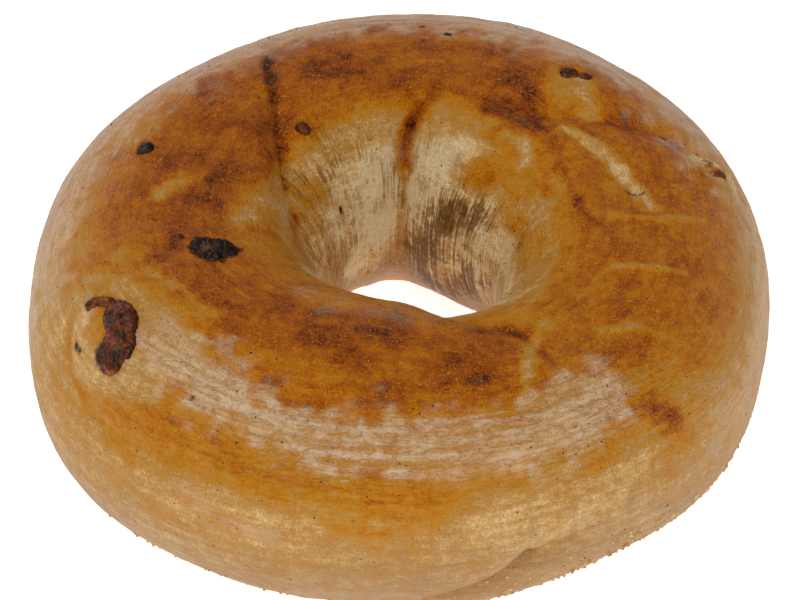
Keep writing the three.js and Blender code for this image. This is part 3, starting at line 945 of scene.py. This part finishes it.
@dataclass
class Crust:
    """The ring of dough: a fine skin over the solid, with its relief and its baked colour, some of which is
    painted shade, sheen and highlight.
    """

    form: RingForm
    finish: CrustFinish = field(default_factory=CrustFinish)
    turn_steps: int = 600
    roll_steps: int = 164
    crown_crowding: float = 0.35
    pattern_radius: float = 34.0
    pattern_half: float = 21.0
    seam_gap: float = 0.01

    # Bake round the section before any mark: nought is white crumb and one is burnt. Round the wall of the
    # hole the crumb is kept paler still as painted light, and towards the foot of the wall it darkens,
    # partly as painted shade.
    bake_rolls: tuple[float, ...] = (-90, -58, -40, 8, 22, 34, 50, 66, 88, 108, 120, 132, 145, 200, 225, 270)
    bake_levels: tuple[float, ...] = (
        *(0.52, 0.42, 0.32, 0.22, 0.27, 0.38, 0.48, 0.58),
        *(0.66, 0.62, 0.46, 0.26, 0.08, 0.28, 0.5, 0.5),
    )
    plain_wrinkle: float = 0.5
    plain_striae: float = 0.1

    # Fields of noise: size in millimetres and seed, and for the lumps their height too.
    lumps: tuple[Triple, ...] = ((6.0, 3.1, 0.12), (1.8, 7.7, 0.05))
    rim_noise: Pair = (1.6, 5.5)
    edge_noise: Pair = (3.0, 11.3)

    def base_bake(self, roll: np.ndarray) -> np.ndarray:
        """How far the dough is baked round its section before any mark.

        Args:
            roll: The angle round the dough in radians.

        Returns:
            A level from nought, white crumb, to one, burnt.
        """
        degrees = (np.degrees(roll) + 90) % 360 - 90
        return np.interp(degrees, self.bake_rolls, self.bake_levels)

    def build(self) -> bpy.types.Object:
        """Bends a fine grid to the ring, moves it to the crust and writes its layers."""
        shape = bmesh.new()
        bmesh.ops.create_grid(shape, x_segments=self.turn_steps, y_segments=self.roll_steps, size=math.pi)
        for vertex in shape.verts:
            turn, roll, _ = vertex.co
            reach = self.pattern_radius + self.pattern_half * math.cos(roll)
            vertex.co = (reach * math.cos(turn), reach * math.sin(turn), self.pattern_half * math.sin(roll))
        bmesh.ops.remove_doubles(shape, verts=shape.verts[:], dist=self.seam_gap)
        bmesh.ops.recalc_face_normals(shape, faces=shape.faces[:])
        mesh = mesh_from(shape, "crust")
        self.mould(mesh)
        made = make_object("crust", mesh, self.finish.material())
        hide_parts("dough")
        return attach(made, BODY)

    def mould(self, mesh: bpy.types.Mesh) -> None:
        """Moves the even ring's points to the crust and stores the layers on them."""
        flat = np.zeros(len(mesh.vertices) * 3, np.float32)
        mesh.vertices.foreach_get("co", flat)
        ideal = flat.reshape(-1, 3).astype(float)
        turn = np.arctan2(ideal[:, 1], ideal[:, 0]) % (2 * math.pi)
        even = np.arctan2(ideal[:, 2], np.hypot(ideal[:, 0], ideal[:, 1]) - self.pattern_radius)
        roll = even + self.crown_crowding * np.cos(even)
        place = self.form.places(turn, roll)
        lift = self.form.lift(place)
        points = self.form.points(place, lift)
        lift = lift + self.fine_relief(place, points)
        points = self.form.points(place, lift)
        mesh.vertices.foreach_set("co", (points * MM).astype(np.float32).ravel())
        for layer, values in self.layers(place, points).items():
            store = mesh.attributes.new(layer.value, "FLOAT", "POINT")
            store.data.foreach_set("value", values.astype(np.float32))
        around = (self.pattern_radius * np.cos(turn), self.pattern_radius * np.sin(turn))
        ring = np.stack([*around, self.pattern_half * np.cos(roll)], 1).astype(np.float32)
        mesh.attributes.new("ring", "FLOAT_VECTOR", "POINT").data.foreach_set("vector", ring.ravel())
        ring_w = (self.pattern_half * np.sin(roll)).astype(np.float32)
        mesh.attributes.new("ring_w", "FLOAT", "POINT").data.foreach_set("value", ring_w)

    def fine_relief(self, place: Places, points: np.ndarray) -> np.ndarray:
        """The small relief that the solid leaves out, in millimetres."""
        total = sum(height * noise_at(points, size, seed) for size, seed, height in self.lumps)
        for crease in CREASES.values():
            total = total - crease.cut(place)
        rough = noise_at(points, *self.rim_noise)
        for raisin in RAISINS:
            total = total + raisin.seat(place, rough)
        return total

    def layers(self, place: Places, points: np.ndarray) -> dict[Layer, np.ndarray]:
        """Paints every mark over the layers of the crust."""
        rough = noise_at(points, *self.edge_noise)
        values = {layer: np.zeros(len(points)) for layer in Layer}
        values[Layer.BAKE] = self.base_bake(place.roll)
        values[Layer.WRINKLE] += self.plain_wrinkle
        values[Layer.STRIAE] += self.plain_striae
        for layer, marks in MARKS.items():
            for mark in marks.values():
                values[layer] = mark.paint(values[layer], place, rough)
        return values


@dataclass(frozen=True)
class RaisinFinish:
    """Dried grape skin: dark, thin and sticky with sugar, so a broken gloss over red-brown flesh."""

    name: str
    dark: str
    light: str
    roughness: float
    edge: str
    patch_scale: float = 420.0
    patch_detail: float = 4.0
    crease_scale: float = 900.0
    crease_detail: float = 3.0
    crease_depth: float = 0.0003
    stops: Triple = (0.4, 0.56, 0.72)
    specular_level: float = 0.45
    specular_tint: tuple[float, ...] = (1.0, 0.7, 0.5, 1.0)

    def material(self) -> bpy.types.Material:
        """Builds the raisin's material."""
        made = new_material(self.name)
        tree = made.node_tree
        place = add_node(tree, "ShaderNodeTexCoord", {}, {}).outputs["Object"]
        sockets = {"Vector": place, "Scale": self.patch_scale, "Detail": self.patch_detail}
        patches = add_node(tree, "ShaderNodeTexNoise", {}, sockets)
        colours = tuple(zip(self.stops, (self.dark, self.light, self.edge)))
        colour = add_ramp(tree, patches.outputs["Fac"], colours)
        settings = {"noise_type": "RIDGED_MULTIFRACTAL"}
        sockets = {"Vector": place, "Scale": self.crease_scale, "Detail": self.crease_detail}
        creases = add_node(tree, "ShaderNodeTexNoise", settings, sockets)
        sockets = {"Strength": 1.0, "Distance": self.crease_depth, "Height": creases.outputs["Fac"]}
        bump = add_node(tree, "ShaderNodeBump", {}, sockets)
        sockets = {
            "Base Color": colour,
            "Roughness": self.roughness,
            "Normal": bump.outputs["Normal"],
            "Specular IOR Level": self.specular_level,
            "Specular Tint": self.specular_tint,
        }
        add_surface(tree, sockets)
        return made


DRIED = RaisinFinish("dried_grape_skin", "#220b06", "#5c240e", 0.36, "#964c18")
BURNT = RaisinFinish("burnt_grape_skin", "#070303", "#150a07", 0.42, "#5a2c14")
TORN = RaisinFinish("torn_grape_flesh", "#6a2c0c", "#c07028", 0.45, "#f0cc90")


@dataclass(frozen=True)
class Lobe:
    """One rounded part of a raisin: its middle and half-sizes in the raisin's own frame, in millimetres."""

    at: Triple
    half: Triple
    spin: float = 0.0


@dataclass
class Raisin:
    """A raisin set in the crust: lobes run together and wrinkled."""

    node: str
    slot: str
    finish: RaisinFinish
    at: Pair
    lobes: tuple[Lobe, ...]
    wrinkle: float
    wrinkle_mm: float
    seat_depth: float = 0.7
    rim_height: float = 0.3
    seat_edge: float = 0.95
    seat_slope: float = 0.3
    rim_at: float = 1.12
    rim_width: float = 0.2
    rim_plain: float = 0.7
    rim_torn: float = 0.9
    ball_steps: int = 4
    voxel_mm: float = 0.22

    def nearness(self, place: Places) -> np.ndarray:
        """How far out each place is from the raisin: nought at a lobe's middle, one at its edge.

        Args:
            place: The places on the crust.

        Returns:
            The least share over all the lobes.
        """
        along = wrapped(place.turn - math.radians(self.at[0])) * place.radius
        around = wrapped(place.roll - math.radians(self.at[1])) * place.half
        least = np.full(place.turn.shape, np.inf)
        for lobe in self.lobes:
            spin = math.radians(lobe.spin)
            dx, dy = along - lobe.at[0], around - lobe.at[1]
            x = dx * math.cos(spin) + dy * math.sin(spin)
            y = dy * math.cos(spin) - dx * math.sin(spin)
            least = np.minimum(least, np.hypot(x / lobe.half[0], y / lobe.half[1]))
        return least

    def seat(self, place: Places, rough: np.ndarray) -> np.ndarray:
        """The crust's lift at the raisin: a hollow under it and a torn rim round it, in millimetres."""
        share = self.nearness(place)
        hollow = smooth_step((self.seat_edge - share) / self.seat_slope)
        torn = self.rim_plain + self.rim_torn * rough
        rim = np.exp(-(((share - self.rim_at) / self.rim_width) ** 2)) * torn
        return self.rim_height * rim - self.seat_depth * hollow

    def build(self, form: RingForm, material: bpy.types.Material) -> bpy.types.Object:
        """Models the raisin and puts it in place of its solid."""
        shape = bmesh.new()
        for lobe in self.lobes:
            stand = Matrix.Translation(lobe.at) @ Matrix.Rotation(math.radians(lobe.spin), 4, "Z")
            stand = stand @ Matrix.Diagonal((*lobe.half, 1))
            bmesh.ops.create_icosphere(shape, subdivisions=self.ball_steps, radius=1, matrix=stand)
        bmesh.ops.transform(shape, matrix=Matrix.Scale(MM, 4) @ form.frame_at(*self.at), verts=shape.verts)
        made = make_object(self.node + "_fruit", mesh_from(shape, self.node), material)
        melt = made.modifiers.new("melt", "REMESH")
        melt.mode = "VOXEL"
        melt.voxel_size = self.voxel_mm * MM
        self.wrinkled(made)
        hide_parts(self.node)
        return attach(made, BODY)

    def wrinkled(self, made: bpy.types.Object) -> None:
        """Runs the lobes together and presses wrinkles into the skin."""
        graph = bpy.context.evaluated_depsgraph_get()
        melted = bpy.data.meshes.new_from_object(made.evaluated_get(graph), depsgraph=graph)
        made.modifiers.clear()
        old = made.data
        made.data = melted
        bpy.data.meshes.remove(old)
        melted.name = self.node + "_fruit"
        for vertex in melted.vertices:
            ridge = 1 - abs(rough_noise(vertex.co / (self.wrinkle_mm * MM))) * 2
            vertex.co = vertex.co + vertex.normal * (ridge * self.wrinkle * MM)
        melted.shade_smooth()


@dataclass(frozen=True)
class Scatter:
    """A stretch of crust that grains lie on: its ranges of turn and roll in degrees, and how many grains."""

    turn: Pair
    roll: Pair
    count: int


@dataclass(frozen=True)
class GrainFinish:
    """Loose bits on the crust, meal, crumbs or torn skin: dull, dry and uneven in colour."""

    name: str
    dark: str
    light: str
    patch_scale: float = 700.0
    patch_detail: float = 2.0
    stops: Pair = (0.35, 0.65)
    roughness: float = 0.8
    specular_level: float = 0.1

    def material(self) -> bpy.types.Material:
        """Builds the grains' material."""
        made = new_material(self.name)
        tree = made.node_tree
        place = add_node(tree, "ShaderNodeTexCoord", {}, {}).outputs["Object"]
        sockets = {"Vector": place, "Scale": self.patch_scale, "Detail": self.patch_detail}
        patches = add_node(tree, "ShaderNodeTexNoise", {}, sockets)
        colours = tuple(zip(self.stops, (self.dark, self.light)))
        sockets = {
            "Base Color": add_ramp(tree, patches.outputs["Fac"], colours),
            "Roughness": self.roughness,
            "Specular IOR Level": self.specular_level,
        }
        add_surface(tree, sockets)
        return made


@dataclass
class Grains:
    """Many small bits in one mesh, each an uneven lump pressed into the crust."""

    name: str
    finish: GrainFinish
    patches: tuple[Scatter, ...]
    half: Pair
    seed: int
    uneven: Pair = (0.7, 1.3)

    def build(self, form: RingForm) -> bpy.types.Object:
        """Scatters the grains over their stretches of crust."""
        draw = np.random.default_rng(self.seed)
        shape = bmesh.new()
        for patch in self.patches:
            turns = np.radians(draw.uniform(*patch.turn, patch.count))
            rolls = np.radians(draw.uniform(*patch.roll, patch.count))
            sizes = draw.uniform(*self.half, (patch.count, 3)) * draw.uniform(*self.uneven, (patch.count, 1))
            spins = draw.uniform(0, math.pi, patch.count)
            for stand, size, spin in zip(form.frames_at(turns, rolls), sizes.tolist(), spins.tolist()):
                stand = stand @ Matrix.Rotation(spin, 4, "Z") @ Matrix.Diagonal((*size, 1))
                stand = Matrix.Scale(MM, 4) @ stand
                bmesh.ops.create_icosphere(shape, subdivisions=1, radius=1, matrix=stand)
        made = make_object(self.name, mesh_from(shape, self.name), self.finish.material())
        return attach(made, BODY)


GRAINS = (
    Grains(
        "cornmeal",
        GrainFinish("toasted_cornmeal", "#b98a4c", "#e2c48c"),
        (
            Scatter((284, 352), (-44, -14), 260),
            Scatter((200, 284), (-50, -24), 60),
            Scatter((0, 200), (-52, -26), 160),
        ),
        (0.16, 0.36),
        5,
    ),
    Grains(
        "dark_crumbs",
        GrainFinish("burnt_crumbs", "#1f0e05", "#5a2c12"),
        (
            Scatter((0, 360), (-20, 130), 80),
            Scatter((60, 200), (20, 60), 70),
            Scatter((290, 345), (-40, -10), 40),
            Scatter((0, 360), (130, 210), 90),
        ),
        (0.05, 0.14),
        8,
    ),
    Grains(
        "torn_flakes",
        GrainFinish("torn_skin_flakes", "#c07a30", "#f0d6a4"),
        (
            Scatter((10, 17), (46, 60), 26),
            Scatter((12, 15), (50, 56), 14),
        ),
        (0.14, 0.4),
        11,
    ),
)


@dataclass
class Studio:
    """The pale floor, the soft lights and the camera."""

    floor_size: float = 3.0
    floor_colour: str = "#c4c4c3"
    floor_roughness: float = 0.9
    floor_specular: float = 0.1
    floor_glow: float = 0.9
    sky_glow: float = 0.22
    target: Triple = (0.0, -0.00277, 0.0202)
    elevation: float = 44.0
    distance: float = 0.45
    lens: float = 134.06
    sensor_width: float = 36.0
    clip_start: float = 0.01

    # Each soft light's place and size in metres, and its power in watts.
    lamps: tuple[tuple[str, Triple, float, float], ...] = (
        ("front_softbox", (0.32, -0.8, 1.0), 0.4, 6.4),
        ("left_softbox", (-0.9, -0.2, 0.9), 0.5, 3.7),
        ("back_softbox", (-0.55, 0.85, 0.85), 0.5, 3.0),
    )

    def build(self) -> None:
        """Sets up everything round the bagel."""
        self.floor()
        self.world()
        for lamp in self.lamps:
            self.lamp(*lamp)
        self.camera()
        bpy.context.scene.view_settings.view_transform = "Standard"

    def floor(self) -> None:
        """A plain pale floor."""
        shape = bmesh.new()
        bmesh.ops.create_grid(shape, x_segments=1, y_segments=1, size=self.floor_size / 2)
        mesh = mesh_from(shape, "floor")
        paint = bpy.data.materials.new("pale_card")
        paint.use_nodes = True
        skin = paint.node_tree.nodes["Principled BSDF"]
        skin.inputs["Base Color"].default_value = linear(self.floor_colour)
        skin.inputs["Roughness"].default_value = self.floor_roughness
        skin.inputs["Specular IOR Level"].default_value = self.floor_specular
        skin.inputs["Emission Color"].default_value = WHITE
        skin.inputs["Emission Strength"].default_value = self.floor_glow
        make_object("floor", mesh, paint)

    def world(self) -> None:
        """A white room all round."""
        made = bpy.data.worlds.new("white_room")
        made.use_nodes = True
        sky = made.node_tree.nodes["Background"]
        sky.inputs["Color"].default_value = WHITE
        sky.inputs["Strength"].default_value = self.sky_glow
        bpy.context.scene.world = made

    def lamp(self, name: str, at: Triple, size: float, power: float) -> None:
        """A square soft light that faces the bagel."""
        light = bpy.data.lights.new(name, "AREA")
        light.size = size
        light.energy = power
        made = bpy.data.objects.new(name, light)
        made.location = at
        made.rotation_euler = (Vector(self.target) - Vector(at)).to_track_quat("-Z", "Y").to_euler()
        bpy.context.scene.collection.objects.link(made)

    def camera(self) -> None:
        """The photograph's view: straight on, looking down from the front."""
        data = bpy.data.cameras.new("camera")
        data.lens = self.lens
        data.sensor_width = self.sensor_width
        data.clip_start = self.clip_start
        made = bpy.data.objects.new("camera", data)
        tilt = math.radians(self.elevation)
        away = Vector((0, -math.cos(tilt), math.sin(tilt))) * self.distance
        made.location = Vector(self.target) + away
        made.rotation_euler = (-away).to_track_quat("-Z", "Y").to_euler()
        bpy.context.scene.collection.objects.link(made)
        bpy.context.scene.camera = made


RAISINS = (
    Raisin(
        "raisin_left",
        "raisin",
        DRIED,
        (211, 57),
        (
            Lobe((0.8, 1.7, -0.7), (3.7, 2.5, 1.5), -12),
            Lobe((3.5, -0.6, -0.7), (3.1, 2.7, 1.5), -50),
            Lobe((3.8, -3.0, -0.8), (2.6, 1.7, 1.4), -10),
            Lobe((-3.4, 2.0, -0.8), (2.3, 0.8, 1.1), 24),
            Lobe((-5.4, 0.2, -0.9), (0.8, 1.2, 1.1), -12),
        ),
        0.32,
        1.0,
    ),
    Raisin(
        "raisin_charred",
        "charred_raisin",
        BURNT,
        (201.3, 101.5),
        (
            Lobe((0.2, 0.3, -0.5), (2.0, 2.7, 1.4), -16),
            Lobe((1.2, 1.6, -0.6), (1.6, 1.4, 1.2)),
            Lobe((-1.2, -1.6, -0.6), (1.3, 1.5, 1.2)),
            Lobe((1.8, -0.6, -0.6), (1.1, 1.4, 1.1)),
        ),
        0.45,
        0.6,
        rim_height=0.1,
    ),
    Raisin(
        "raisin_side",
        "charred_raisin",
        BURNT,
        (161.3, 76),
        (Lobe((0, 0, -0.6), (1.5, 1.3, 1.1)), Lobe((0.7, -0.5, -0.7), (1.0, 0.8, 0.9))),
        0.22,
        0.7,
    ),
    Raisin(
        "raisin_far",
        "raisin",
        DRIED,
        (126.2, 117.6),
        (Lobe((0, 0, -0.6), (1.0, 1.3, 1.1)), Lobe((0.4, -0.6, -0.7), (0.8, 0.7, 0.9))),
        0.15,
        0.7,
    ),
    Raisin(
        "raisin_back",
        "raisin",
        DRIED,
        (47.5, 79),
        (Lobe((0.9, 0.4, -1.1), (1.7, 1.5, 1.4), 20), Lobe((-1.3, -0.6, -1.1), (1.4, 1.1, 1.3), 20)),
        0.15,
        0.8,
    ),
    Raisin("raisin_edge", "raisin", TORN, (12.5, 54), (Lobe((0, 0, -0.7), (2.0, 1.2, 1.2), 60),), 0.25, 0.7),
)


def main() -> None:
    """Builds the bagel and its setting."""
    logging.basicConfig(level=logging.INFO, format="%(message)s")
    Studio().build()
    form = RingForm()
    crust = Crust(form).build()
    LOG.info("crust: %d faces", len(crust.data.polygons))
    finishes = dict.fromkeys(raisin.finish for raisin in RAISINS)
    materials = {finish: finish.material() for finish in finishes}
    for raisin in RAISINS:
        made = raisin.build(form, materials[raisin.finish])
        LOG.info("%s: %d faces", made.name, len(made.data.polygons))
    for grains in GRAINS:
        made = grains.build(form)
        LOG.info("%s: %d faces", made.name, len(made.data.polygons))


if __name__ == "__main__":
    main()
